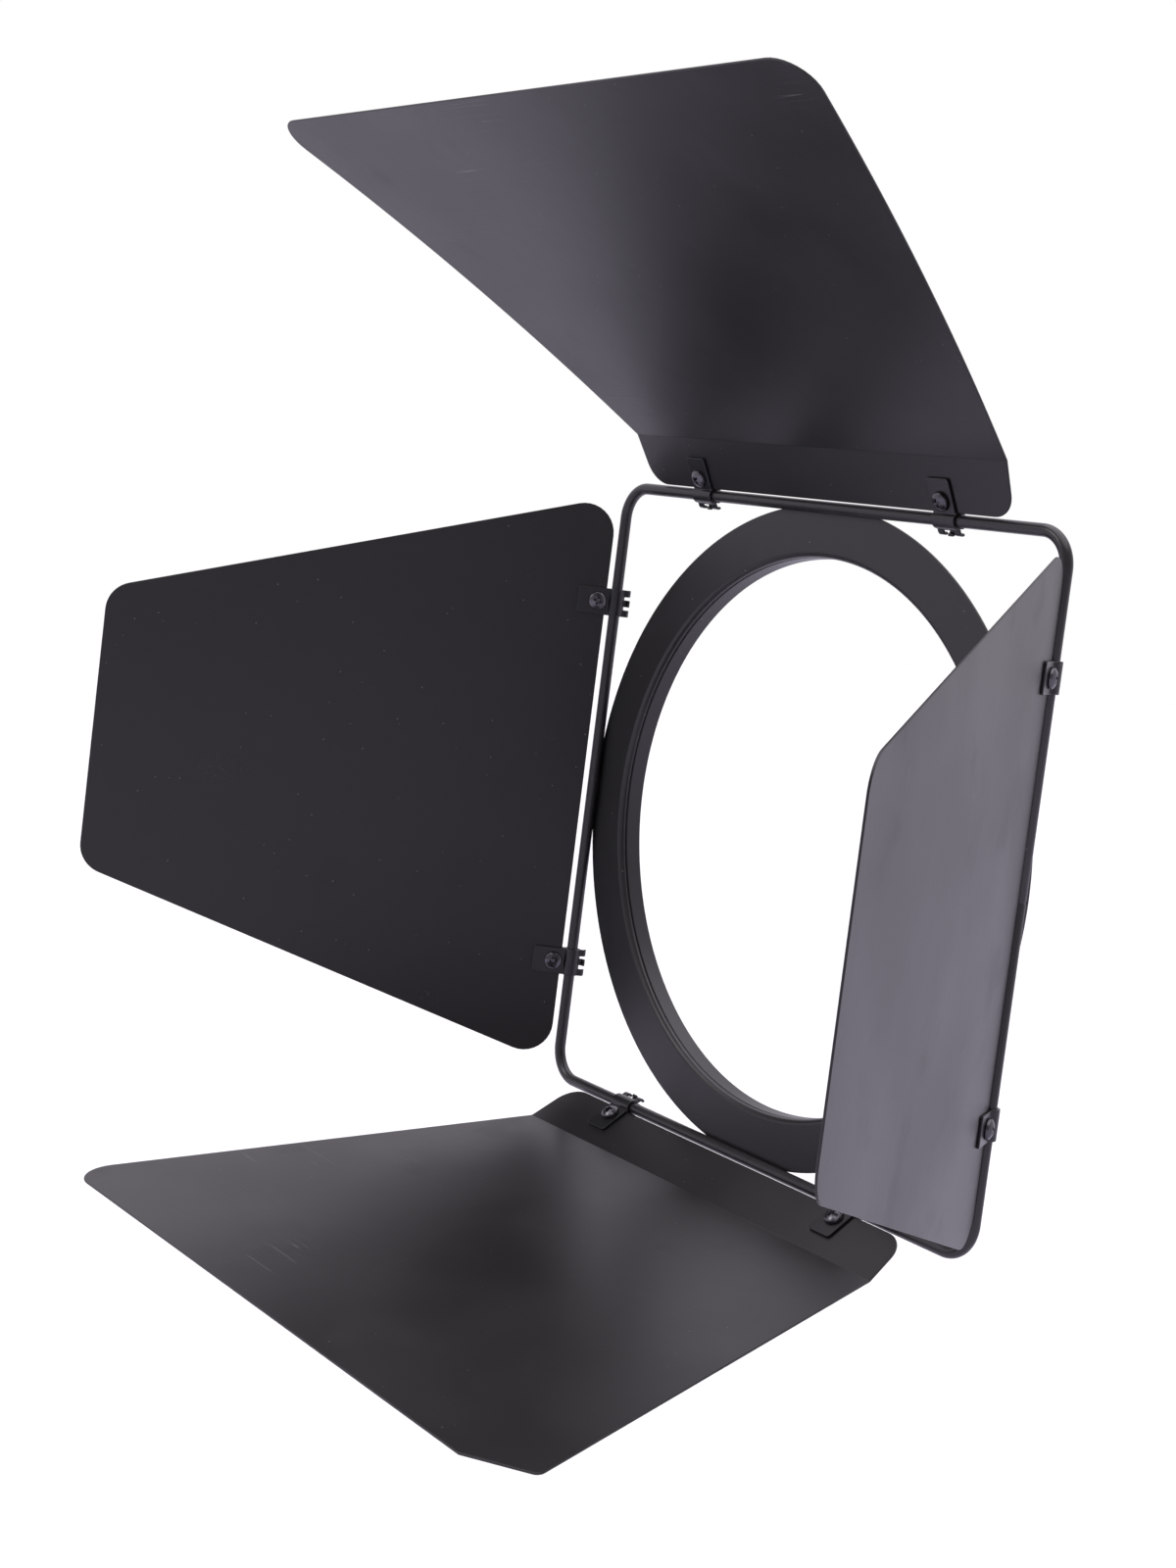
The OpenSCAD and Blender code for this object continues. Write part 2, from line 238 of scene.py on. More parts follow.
# Orange peel of the baked powder, and the faint clouds where it flowed or was handled. Each
# pattern has its features per metre, and the band of noise that it fades in over.
PEEL_SHARE = 0.55
RIPPLES_PER_METRE = 160.0
CLOUDS_PER_METRE, CLOUD_BAND = 13.0, (0.34, 0.66)
SMUDGES_PER_METRE, SMUDGE_BAND = 34.0, (0.56, 0.72)
powder_coat, given, out = new_group(
    "powder_coat", ["Grain per metre"], ["Height", "Clouds", "Smudges"]
)
peel = cloud(powder_coat, given.outputs["Grain per metre"], 2.0)
ripple = cloud(powder_coat, RIPPLES_PER_METRE, 1.0)
powder_coat.links.new(
    number(powder_coat, "ADD", number(powder_coat, "MULTIPLY", peel, PEEL_SHARE), ripple),
    out.inputs["Height"],
)
clouds = cloud(powder_coat, CLOUDS_PER_METRE, 3.0)
powder_coat.links.new(fade(powder_coat, clouds, *CLOUD_BAND), out.inputs["Clouds"])
smudges = cloud(powder_coat, SMUDGES_PER_METRE, 4.0)
powder_coat.links.new(fade(powder_coat, smudges, *SMUDGE_BAND), out.inputs["Smudges"])

# Coat thinned along the edges down to the steel, broken up where it still holds. The lighter grey
# this gives the edges is worn steel and a painted highlight along them together
EDGE_BAND = (0.02, 0.22)
BREAKS_PER_METRE, BREAK_BAND = 260.0, (0.38, 0.62)
worn_and_highlit_edges, given, out = new_group("worn_and_highlit_edges", ["Edge width"], ["Worn"])
bevel = worn_and_highlit_edges.nodes.new("ShaderNodeBevel")
bevel.samples = 6
surface = worn_and_highlit_edges.nodes.new("ShaderNodeNewGeometry")
agree = worn_and_highlit_edges.nodes.new("ShaderNodeVectorMath")
agree.operation = "DOT_PRODUCT"
worn_and_highlit_edges.links.new(given.outputs["Edge width"], bevel.inputs["Radius"])
worn_and_highlit_edges.links.new(bevel.outputs["Normal"], agree.inputs[0])
worn_and_highlit_edges.links.new(surface.outputs["Normal"], agree.inputs[1])
turned_away = number(worn_and_highlit_edges, "SUBTRACT", 1.0, agree.outputs["Value"])
held_on = fade(worn_and_highlit_edges, cloud(worn_and_highlit_edges, BREAKS_PER_METRE, 3.0), *BREAK_BAND)
rubbed_and_highlit = fade(worn_and_highlit_edges, turned_away, *EDGE_BAND)
worn_and_highlit_edges.links.new(number(worn_and_highlit_edges, "MULTIPLY", rubbed_and_highlit, held_on), out.inputs["Worn"])

# Stray specks of dust that stick out of the coat, and hairline scratches from handling, which
# follow the middle of stretched noise and show only here and there
HAIR_TURN = (0.5, 0.9, 0.35)
HAIR_STRETCH = (2.0, 260.0, 260.0)
HAIR_BAND = (0.0008, 0.004)
HAIRS_PER_METRE, RARE_BAND = 17.0, (0.64, 0.70)
specks_and_scratches, given, out = new_group(
    "specks_and_scratches", ["Specks per metre", "Speck size"], ["Specks", "Scratches"]
)
where = specks_and_scratches.nodes.new("ShaderNodeTexCoord")
cells = specks_and_scratches.nodes.new("ShaderNodeTexVoronoi")
specks_and_scratches.links.new(where.outputs["Object"], cells.inputs["Vector"])
specks_and_scratches.links.new(given.outputs["Specks per metre"], cells.inputs["Scale"])
reach = number(
    specks_and_scratches, "DIVIDE", cells.outputs["Distance"], given.outputs["Speck size"]
)
specks = fade(specks_and_scratches, reach, 0.5, 1.0, 1.0, 0.0)
specks_and_scratches.links.new(specks, out.inputs["Specks"])
hairs = cloud(specks_and_scratches, 1.0, 1.0, (HAIR_TURN, HAIR_STRETCH))
from_middle = number(specks_and_scratches, "SUBTRACT", hairs, 0.5)
off_line = number(specks_and_scratches, "ABSOLUTE", from_middle)
rare = fade(specks_and_scratches, cloud(specks_and_scratches, HAIRS_PER_METRE, 1.0), *RARE_BAND)
on_line = fade(specks_and_scratches, off_line, *HAIR_BAND, 1.0, 0.0)
specks_and_scratches.links.new(
    number(specks_and_scratches, "MULTIPLY", on_line, rare), out.inputs["Scratches"]
)


def place_group(tree, group, **values):
    node = tree.nodes.new("ShaderNodeGroup")
    node.node_tree = group
    for socket, value in values.items():
        node.inputs[socket.replace("_", " ").capitalize()].default_value = value
    return node.outputs


def blend_colour(tree, mask, under, over):
    """Mixes two colours, each a socket or plain RGB, by a mask."""
    node = tree.nodes.new("ShaderNodeMix")
    node.data_type = "RGBA"
    tree.links.new(mask, node.inputs["Factor"])
    for socket, colour in ((node.inputs["A"], under), (node.inputs["B"], over)):
        if isinstance(colour, bpy.types.NodeSocket):
            tree.links.new(colour, socket)
        else:
            socket.default_value = (*colour, 1)
    return node.outputs["Result"]


# How strongly each pattern shows in the coat's colour, roughness and relief
SPECK_SIZE = 0.042
DARKER, LIGHTER = 0.82, 1.2
SCRATCH_SHOWS, SPECK_SHOWS = 0.35, 0.6
CLOUD_ROUGHNESS, SMUDGE_ROUGHNESS, SPECK_ROUGHNESS, WORN_GLOSS = 0.05, 0.035, 0.3, 0.06
SPECK_HEIGHT, SCRATCH_DEPTH = 1.5, 0.3
BUMP_STRENGTH = 0.6
METAL_SPREAD = 0.1


def black_coat(name, colour, gloss, grain, peel_depth, edge_width, edge_wear_and_highlight, specks, metal=0.0):
    """Black finish on steel. gloss is its plain roughness, and wear how far lighter edges show,
    which are bare steel and a painted highlight along the edges together.
    """
    material = bpy.data.materials.new(name)
    material.use_nodes = True
    tree = material.node_tree
    shader = tree.nodes["Principled BSDF"]
    coat = place_group(tree, powder_coat, grain_per_metre=grain)
    edges = place_group(tree, worn_and_highlit_edges, edge_width=edge_width)
    marks = place_group(
        tree, specks_and_scratches, specks_per_metre=specks, speck_size=SPECK_SIZE
    )
    darker = tuple(DARKER * c for c in colour)
    lighter = tuple(LIGHTER * c for c in colour)
    worn_and_highlit = number(tree, "MULTIPLY", edges["Worn"], edge_wear_and_highlight)
    scratched = number(tree, "MULTIPLY", marks["Scratches"], SCRATCH_SHOWS)
    speckled = number(tree, "MULTIPLY", marks["Specks"], SPECK_SHOWS)
    tone = blend_colour(tree, coat["Clouds"], darker, lighter)
    # Lighter grey along the edges: worn bare steel and a painted highlight on the rounded edges
    # together; the same grey fills the real scratches below
    tone = blend_colour(tree, worn_and_highlit, tone, WORN_AND_HIGHLIGHT_GREY)
    tone = blend_colour(tree, scratched, tone, WORN_AND_HIGHLIGHT_GREY)
    tree.links.new(blend_colour(tree, speckled, tone, DUST_GREY), shader.inputs["Base Color"])
    rough = number(tree, "MULTIPLY_ADD", coat["Clouds"], CLOUD_ROUGHNESS)
    rough.node.inputs[2].default_value = gloss - CLOUD_ROUGHNESS / 2
    for mark, amount in ((coat["Smudges"], SMUDGE_ROUGHNESS), (marks["Specks"], SPECK_ROUGHNESS)):
        rough = number(tree, "ADD", rough, number(tree, "MULTIPLY", mark, amount))
    rough = number(tree, "SUBTRACT", rough, number(tree, "MULTIPLY", worn_and_highlit, WORN_GLOSS))
    tree.links.new(rough, shader.inputs["Roughness"])
    raised = number(tree, "MULTIPLY", marks["Specks"], SPECK_HEIGHT)
    relief = number(tree, "ADD", coat["Height"], raised)
    sunk = number(tree, "MULTIPLY", marks["Scratches"], SCRATCH_DEPTH)
    relief = number(tree, "SUBTRACT", relief, sunk)
    bump = tree.nodes.new("ShaderNodeBump")
    bump.inputs["Strength"].default_value = BUMP_STRENGTH
    bump.inputs["Distance"].default_value = peel_depth
    tree.links.new(relief, bump.inputs["Height"])
    tree.links.new(bump.outputs["Normal"], shader.inputs["Normal"])
    if metal:
        bare = fade(tree, coat["Clouds"], 0.0, 1.0, metal, metal - METAL_SPREAD)
        tree.links.new(bare, shader.inputs["Metallic"])
    return material


def face_outwards(mesh):
    solid = bmesh.new()
    solid.from_mesh(mesh)
    bmesh.ops.recalc_face_normals(solid, faces=solid.faces)
    solid.to_mesh(mesh)
    solid.free()


def finish_piece(name, points, faces, place, material, body, node, normals=None):
    """Makes the object, smooth shaded, and hands it to its body in place of its CAD node."""
    mesh = bpy.data.meshes.new(name)
    mesh.from_pydata([place @ Vector(p) for p in points], [], faces)
    face_outwards(mesh)
    mesh.shade_smooth()
    if normals:
        turn = place.to_3x3()
        turned = [(turn @ Vector(n)).normalized() for n in normals]
        mesh.normals_split_custom_set_from_vertices(turned)
    mesh.materials.append(material)
    piece = bpy.data.objects.new(name, mesh)
    bpy.context.scene.collection.objects.link(piece)
    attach(piece, body)
    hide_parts(node)
    return piece


def skin(rings, around=True, along=False):
    """Faces over rings of points that all have the same count, closed around or along."""
    count = len(rings[0])
    points = [p for ring in rings for p in ring]
    rows = len(rings) if along else len(rings) - 1
    faces = []
    for row in range(rows):
        a, b = row * count, (row + 1) % len(rings) * count
        for i in range(count if around else count - 1):
            j = (i + 1) % count
            faces.append((a + i, a + j, b + j, b + i))
    return points, faces


def arc(centre, radius, start, end, steps):
    """Points on an arc in a section, angles in degrees, both ends included."""
    return [
        (centre[0] + radius * math.cos(a), centre[1] + radius * math.sin(a))
        for a in (math.radians(start + (end - start) * i / steps) for i in range(steps + 1))
    ]


def spun(section, steps):
    """A closed section of (radius, distance along Y) turned around the Y axis."""
    turns = [2 * math.pi * i / steps for i in range(steps)]
    rings = [[(r * math.cos(a), y, r * math.sin(a)) for r, y in section] for a in turns]
    return skin(rings, True, True)


ring_black = black_coat("ring_black", RING_BLACK, 0.37, 1500.0, 0.00005, 0.0006, 0.5, 150.0)
bend_centre = (RING_HOLE_R + RING_BEND_R, RING_BEND_R - RING_DEPTH)
rim_front = (RING_FACE_R - RING_EDGE_R, RING_EDGE_R - RING_DEPTH)
rim_back = (RING_FACE_R - RING_EDGE_R, RING_SHEET - RING_EDGE_R - RING_DEPTH)
collar_inner = (RING_HOLE_R + RING_EDGE_R, -RING_EDGE_R)
collar_outer = (RING_HOLE_R + RING_SHEET - RING_EDGE_R, -RING_EDGE_R)
groove_y = bend_centre[1] + GROOVE_AFTER_BEND
groove = [
    (
        RING_HOLE_R + GROOVE_DEPTH * math.sin(math.pi * i / GROOVE_STEPS) ** GROOVE_ROUND,
        groove_y + GROOVE_W * (1 - i / GROOVE_STEPS),
    )
    for i in range(GROOVE_STEPS + 1)
]
ring_section = (
    arc(bend_centre, RING_BEND_R, 180, 270, 10)
    + arc(rim_front, RING_EDGE_R, -90, 0, 5)
    + arc(rim_back, RING_EDGE_R, 0, 90, 5)
    + arc(bend_centre, RING_BEND_R - RING_SHEET, 270, 180, 6)
    + arc(collar_outer, RING_EDGE_R, 0, 90, 5)
    + arc(collar_inner, RING_EDGE_R, 90, 180, 5)
    + [(RING_HOLE_R, groove_y + GROOVE_W + COLLAR_FLAT)] + groove
)
points, faces = spun(ring_section, RING_STEPS)
ring = finish_piece(
    "mounting_ring_spun", points, faces, Matrix(), ring_black, "frame", "mounting_ring"
)
ring.modifiers.new("flats_stay_flat", "WEIGHTED_NORMAL")

# ---- Rod frame ----
# One 4.5 mm steel rod, bent at four corners into a square and butted half way up the right
# side. It is resistance welded to the ring's face at the middle of each side, then coated.

ROD_R = 2.25 * mm
ROD_CORNER_R = 12.5 * mm
ROD_SIDES = 32
CORNER_STEPS = 20
BUTT_W = 0.4 * mm
BUTT_DEPTH = 0.25 * mm
BUTT_HALF = 1.5 * BUTT_W
WELD_L = 14 * mm
WELD_W = 2.4 * mm
WELD_H = 0.3 * mm
WELD_STEPS = 24
WELD_SIDES = 20
WELD_ROUND = 2.5
WELD_WAVES, WELD_WAVE_H = 17, 0.06
WELD_THIN = 0.02
ROD_BLACK = (0.0135, 0.013, 0.014)

hinge_at = {joint["name"].split("_")[0]: Vector(joint["pos_m"]) for joint in frame["joints"]}
SIDES = {"top": 0, "right": 90, "bottom": 180, "left": -90}
half_frame = hinge_at["top"].z
rod_y = hinge_at["top"].y
rod_black = black_coat("rod_black", ROD_BLACK, 0.3, 1700.0, 0.00004, 0.0006, 0.4, 120.0)

straight = half_frame - ROD_CORNER_R
path = []
for side, turn in SIDES.items():
    spots = [-straight]
    if side == "right":
        spots += [-BUTT_HALF, -BUTT_W / 2, 0, BUTT_W / 2, BUTT_HALF]
    spots += [straight]
    quarter = Matrix.Rotation(math.radians(turn), 4, "Y")
    for x in spots:
        depth = BUTT_DEPTH * max(0, 1 - abs(x) / BUTT_HALF) if side == "right" else 0
        outward = quarter @ Vector((0, 0, 1))
        path.append((quarter @ Vector((x, 0, half_frame)), outward, ROD_R - depth))
    for i in range(1, CORNER_STEPS):
        bend = Matrix.Rotation(math.radians(90 * i / CORNER_STEPS), 4, "Y")
        spoke = quarter @ bend @ Vector((0, 0, 1))
        middle = quarter @ Vector((straight, 0, straight))
        path.append((middle + ROD_CORNER_R * spoke, spoke, ROD_R))
rings = []
for middle, spoke, radius in path:
    middle.y = rod_y
    rings.append([
        middle + radius * (math.cos(a) * spoke + math.sin(a) * Vector((0, 1, 0)))
        for a in (2 * math.pi * i / ROD_SIDES for i in range(ROD_SIDES))
    ])
points, faces = skin(rings, True, True)
finish_piece("rod_frame_bent", points, faces, Matrix(), rod_black, "frame", "rod_frame")


def capped(rings):
    """A skin over the rings with both ends closed."""
    points, faces = skin(rings)
    count = len(rings[0])
    faces += [tuple(range(count - 1, -1, -1)), tuple(range(len(points) - count, len(points)))]
    return points, faces


# Each weld is squeezed out a little on both sides of the line where rod and ring touch
for side, turn in SIDES.items():
    on_line = Matrix.Translation((0, rod_y + ROD_R, half_frame))
    place = Matrix.Rotation(math.radians(turn), 4, "Y") @ on_line
    beads = []
    for i in range(WELD_STEPS + 1):
        along = 2 * i / WELD_STEPS - 1
        wave = 1 + WELD_WAVE_H * math.sin(WELD_WAVES * along + turn)
        swell = math.sqrt(max(0.0, 1 - abs(along) ** WELD_ROUND)) * wave
        swell = min(1.0, max(WELD_THIN, swell))
        beads.append([
            (
                along * WELD_L / 2,
                WELD_H * (0.5 * math.sin(a) * swell - 0.5),
                WELD_W / 2 * math.cos(a) * swell,
            )
            for a in (2 * math.pi * j / WELD_SIDES for j in range(WELD_SIDES))
        ])
    points, faces = capped(beads)
    finish_piece(
        f"{side}_weld_bead", points, faces, place, rod_black, "frame", f"{side}_weld"
    )

# ---- Leaves ----
# Four leaves cut from 0.8 mm steel sheet with rounded corners. The side leaves are flat. The top
# and bottom ones are folded across near the hinge, and the top one's panel is sprung to a bow.

LEAF_T = 0.8 * mm
LEAF_EDGE_R = 0.25 * mm
LEAF_CORNER_R = 12 * mm
SIDE_HINGE_W = 236.6 * mm
SIDE_FREE_W = 113.6 * mm
SIDE_REACH = 205 * mm
SIDE_GAP = 4.2 * mm
WIDE_GAP = 3 * mm
FOLD_REACH = 24 * mm
FOLD_ANGLE = math.radians(25)
FOLD_R = 1 * mm + LEAF_T / 2
FOLD_STEPS = 6
BOW_STEPS = 40
ROOT_HINGE_W = 200.4 * mm
ROOT_FOLD_W = 206.4 * mm
WIDE_FREE_W = 309.2 * mm
ROOT_CORNER_R = 10 * mm
WAIST_R = 1.5 * mm
PANEL_L = 178.6 * mm
CUT_ALONG = 28 * mm
CUT_DOWN = 12 * mm
CUT_R = 3 * mm
SCREW_V = 7.6 * mm
HOLE_R = 2.2 * mm
# A triangle is in a hole if its middle is within this share of the hole's inset radius
HOLE_TEST = 0.991
# Lengths closer than this count as the same row of a bend
ON_ROW = 1e-7
SIDE_CLIP_PITCH = 150 * mm
WIDE_CLIP_PITCH = 136 * mm
LEAF_BLACK = (0.0068, 0.0062, 0.0066)
# Each leaf's opening angle from straight ahead, its bow, how far it has slid along its rod, the
# distance between its clips, and 1 where the screw heads face the beam or -1 where they don't
Leaf = collections.namedtuple("Leaf", "angle bow shift clip_pitch heads")
LEAVES = {
    "top": Leaf(62, math.radians(8.4), -3 * mm, WIDE_CLIP_PITCH, 1),
    "bottom": Leaf(34, 0, 5.5 * mm, WIDE_CLIP_PITCH, 1),
    "left": Leaf(31, 0, 0, SIDE_CLIP_PITCH, 1),
    "right": Leaf(32, 0, 0, SIDE_CLIP_PITCH, -1),
}


def leaf_frame(side):
    """From a leaf's own frame, X along the hinge, Y to the free edge, Z towards the beam."""
    leaf = LEAVES[side]
    return (
        Matrix.Translation(hinge_at[side])
        @ Matrix.Rotation(math.radians(SIDES[side]), 4, "Y")
        @ Matrix.Rotation(math.radians(180 - leaf.angle), 4, "X")
        @ Matrix.Translation((leaf.shift, 0, 0))
    )


def rounded_outline(corners, steps=10):
    """Outline with rounded corners as (point, outward normal); corners are (x, y, radius),
    anticlockwise, and a negative radius is rounded inwards."""
    outline = []
    for i, (x, y, radius) in enumerate(corners):
        here = Vector((x, y))
        before = (Vector(corners[i - 1][:2]) - here).normalized()
        after = (Vector(corners[(i + 1) % len(corners)][:2]) - here).normalized()
        half = before.angle(after) / 2
        centre = here + (before + after).normalized() * abs(radius) / math.sin(half)
        start = Vector((-before.y, before.x)) if radius > 0 else Vector((before.y, -before.x))
        sweep = math.pi - 2 * half if radius > 0 else 2 * half - math.pi
        for k in range(steps + 1):
            spoke = Matrix.Rotation(sweep * k / steps, 2) @ start
            outline.append((centre + abs(radius) * spoke, spoke if radius > 0 else -spoke))
    return outline


def round_hole(x, y, radius, steps=32):
    turns = [2 * math.pi * k / steps for k in range(steps)]
    spokes = [Vector((math.cos(a), math.sin(a))) for a in turns]
    return [(Vector((x, y)) + radius * s, -s) for s in spokes]


def split_at(outline, rows, edge_r):
    """The outline with a point added wherever its flat part, inside the edge, crosses a row."""
    cut = []
    for (p, n), (q, m) in zip(outline, outline[1:] + outline[:1]):
        cut.append((p, n))
        start, end = p.y - n.y * edge_r, q.y - m.y * edge_r
        crossed = [row for row in rows if min(start, end) + ON_ROW < row < max(start, end) - ON_ROW]
        for row in sorted(crossed, reverse=start > end):
            along = (row - start) / (end - start)
            cut.append((p.lerp(q, along), n.lerp(m, along)))
    return cut


def cut_sheet(outline, holes, section, rows, sheet_t, edge_r, edge_steps=3):
    """A piece cut from sheet, bent along its length and broken along its edges. The outline and
    holes lie in the flat blank; section gives, for a length along the blank, the middle of the
    sheet and the angle that it has turned through. Rows are lengths where the sheet is bent."""
    loops = [split_at(outline, rows, edge_r)] + holes
    flat, constraints, links = [], [], []
    for loop in loops:
        first = len(flat)
        flat += [p - n * edge_r for p, n in loop]
        constraints += [(first + i, first + (i + 1) % len(loop)) for i in range(len(loop))]
    for row in rows:
        on_row = [i for i in range(len(loops[0])) if abs(flat[i].y - row) < ON_ROW]
        on_row.sort(key=lambda i: flat[i].x)
        links += list(zip(on_row[::2], on_row[1::2]))
    verts, _, tris, origins, _, _ = delaunay_2d_cdt(flat, constraints + links, [], 1, 1e-8)
    where = {old: new for new, olds in enumerate(origins) for old in olds}
    hole_spots = []
    for hole in holes:
        rim = [p - n * edge_r for p, n in hole]
        spot = sum(rim, Vector((0, 0))) / len(rim)
        hole_spots.append((spot, HOLE_TEST * (rim[0] - spot).length))

    def kept(tri):
        middle = sum((verts[i] for i in tri), Vector((0, 0))) / 3
        return all((middle - spot).length > radius for spot, radius in hole_spots)

    def bent(p, w):
        y, z, turn = section(p.y)
        return (p.x, y - w * math.sin(turn), z + w * math.cos(turn))

    def leaning(p, out, up):
        _, _, turn = section(p.y)
        forward = out.y
        return (
            out.x,
            forward * math.cos(turn) - up * math.sin(turn),
            forward * math.sin(turn) + up * math.cos(turn),
        )

    half = sheet_t / 2
    count = len(verts)
    points = [bent(v, half) for v in verts] + [bent(v, -half) for v in verts]
    normals = [leaning(v, Vector((0, 0)), way) for way in (1, -1) for v in verts]
    faces = []
    for tri in tris:
        if kept(tri):
            faces.append(tuple(tri))
            faces.append(tuple(count + i for i in reversed(tri)))
    profile = [(math.radians(90 * k / edge_steps), 1) for k in range(1, edge_steps + 1)]
    profile += [(math.radians(90 * k / edge_steps), -1) for k in range(edge_steps, 0, -1)]
    first = 0
    for loop in loops:
        strips = [[where[first + i] for i in range(len(loop))]]
        for a, face_side in profile:
            strip = []
            for p, n in loop:
                spot = p - n * edge_r * (1 - math.sin(a))
                points.append(bent(spot, face_side * (half - edge_r * (1 - math.cos(a)))))
                normals.append(leaning(spot, n * math.sin(a), face_side * math.cos(a)))
                strip.append(len(points) - 1)
            strips.append(strip)
        strips.append([count + where[first + i] for i in range(len(loop))])
        for upper, lower in zip(strips, strips[1:]):
            for i in range(len(loop)):
                j = (i + 1) % len(loop)
                faces.append((upper[i], lower[i], lower[j], upper[j]))
        first += len(loop)
    return points, faces, normals


def flat_section(length):
    return length, 0.0, 0.0


def folded_section(bow):
    """Flat root, fold, then the panel, which is flat or bowed further the same way."""
    tangent = FOLD_R * math.tan(FOLD_ANGLE / 2)
    fold_start = FOLD_REACH - tangent
    fold_end = fold_start + FOLD_R * FOLD_ANGLE

    def section(length):
        if length <= fold_start:
            return length, 0.0, 0.0
        if length <= fold_end:
            turn = (length - fold_start) / FOLD_R
            return fold_start + FOLD_R * math.sin(turn), FOLD_R * (1 - math.cos(turn)), turn
        y, z, _ = section(fold_end)
        on_panel = length - fold_end
        if bow:
            bow_r = PANEL_L / bow
            along, up = bow_r * math.sin(on_panel / bow_r), bow_r * (1 - math.cos(on_panel / bow_r))
            turn = on_panel / bow_r
        else:
            along, up, turn = on_panel, 0.0, 0.0
        c, s = math.cos(FOLD_ANGLE), math.sin(FOLD_ANGLE)
        return y + along * c - up * s, z + along * s + up * c, FOLD_ANGLE + turn

    bends = [fold_start + (fold_end - fold_start) * k / FOLD_STEPS for k in range(FOLD_STEPS + 1)]
    reach = fold_end + (PANEL_L * (1 - bow ** 2 / 24) if bow else PANEL_L) - tangent
    if bow:
        bends += [fold_end + (reach - fold_end) * k / BOW_STEPS for k in range(1, BOW_STEPS)]
    return section, bends, reach


leaf_black = black_coat("leaf_black", LEAF_BLACK, 0.36, 1500.0, 0.00005, 0.0005, 0.35, 170.0)
for side, leaf in LEAVES.items():
    if side in ("left", "right"):
        section, bends = flat_section, []
        outline = rounded_outline([
            (-SIDE_HINGE_W / 2, SIDE_GAP, LEAF_CORNER_R),
            (SIDE_HINGE_W / 2, SIDE_GAP, LEAF_CORNER_R),
            (SIDE_FREE_W / 2, SIDE_REACH, LEAF_CORNER_R),
            (-SIDE_FREE_W / 2, SIDE_REACH, LEAF_CORNER_R),
        ])
    else:
        section, bends, reach = folded_section(leaf.bow)
        # The bottom leaf's free corner near +X is cut off straight
        taper = (WIDE_FREE_W - ROOT_FOLD_W) / 2 / PANEL_L
        far_half = WIDE_FREE_W / 2
        if side == "bottom":
            last_corner = [
                (CUT_ALONG - far_half, reach, CUT_R),
                (CUT_DOWN * taper - far_half, reach - CUT_DOWN, CUT_R),
            ]
        else:
            last_corner = [(-far_half, reach, LEAF_CORNER_R)]
        outline = rounded_outline([
            (-ROOT_HINGE_W / 2, WIDE_GAP, ROOT_CORNER_R),
            (ROOT_HINGE_W / 2, WIDE_GAP, ROOT_CORNER_R),
            (ROOT_FOLD_W / 2, FOLD_REACH, -WAIST_R), (far_half, reach, LEAF_CORNER_R),
            *last_corner, (-ROOT_FOLD_W / 2, FOLD_REACH, -WAIST_R),
        ])
    holes = [round_hole(end * leaf.clip_pitch / 2, SCREW_V, HOLE_R) for end in (-1, 1)]
    points, faces, normals = cut_sheet(outline, holes, section, bends, LEAF_T, LEAF_EDGE_R)
    finish_piece(
        f"{side}_leaf_sheet", points, faces, leaf_frame(side), leaf_black,
        f"{side}_door", f"{side}_leaf", normals,
    )

# ---- Hinge clips ----
# Two plates pressed from 1 mm spring steel hold each end of a leaf to its rod. A flat pad lies on
# the leaf, a half-round arches over the rod, and fingers beyond it hook around the other plate.

CLIP_T = 1 * mm
CLIP_EDGE_R = 0.28 * mm
CLIP_W = 11 * mm
CLIP_REACH = 16 * mm
CLIP_PAD_R = 1.2 * mm
ARCH_R = 2.3 * mm + CLIP_T / 2
ARCH_FOOT_R = 0.9 * mm
PAD_Z = LEAF_T / 2 + CLIP_T / 2
HOOK_V = 4 * mm
HOOK_R = 0.8 * mm + CLIP_T / 2
HOOK_END = math.radians(117)
FINGER_W = 2.8 * mm
FINGER_CORNER_R = 0.3 * mm
COMB_START = 0.1 * mm
SAME_EDGE = 1e-6
CLIP_CORNER_STEPS = 5
BEND_STEP = 9
CLIP_BLACK = (0.008, 0.008, 0.0095)
ENDS = {
    "top": ("left", "right"), "bottom": ("right", "left"),
    "left": ("lower", "upper"), "right": ("upper", "lower"),
}

# The clip's middle line from the pad's end to the fingertips, as bends of (radius, angle) that
# follow straight runs; a bend over the rod or the hook turns the other way from a foot's bend
foot_v = math.sqrt((ARCH_R + ARCH_FOOT_R) ** 2 - (PAD_Z + ARCH_FOOT_R) ** 2)
foot_turn = math.acos((PAD_Z + ARCH_FOOT_R) / (ARCH_R + ARCH_FOOT_R))
CLIP_RUNS = [
    (CLIP_REACH - foot_v, 0), (ARCH_FOOT_R, -foot_turn), (ARCH_R, 2 * foot_turn),
    (ARCH_FOOT_R, -foot_turn), (HOOK_V - foot_v, 0), (HOOK_R, HOOK_END),
]


def run_length(size, bend):
    return abs(bend) * size if bend else size


def clip_section(length):
    """Middle of the sheet and the angle it has turned, for a length measured from the pad's end."""
    y, z, turn = CLIP_REACH, PAD_Z, math.pi
    for size, bend in CLIP_RUNS:
        here = min(length, run_length(size, bend))
        if bend:
            radius = math.copysign(size, bend)
            turned = here / radius
            y -= radius * (math.sin(turn) - math.sin(turn + turned))
            z += radius * (math.cos(turn) - math.cos(turn + turned))
            turn += turned
        else:
            y += here * math.cos(turn)
            z += here * math.sin(turn)
        length -= here
        if length <= 0:
            break
    return y, z, turn


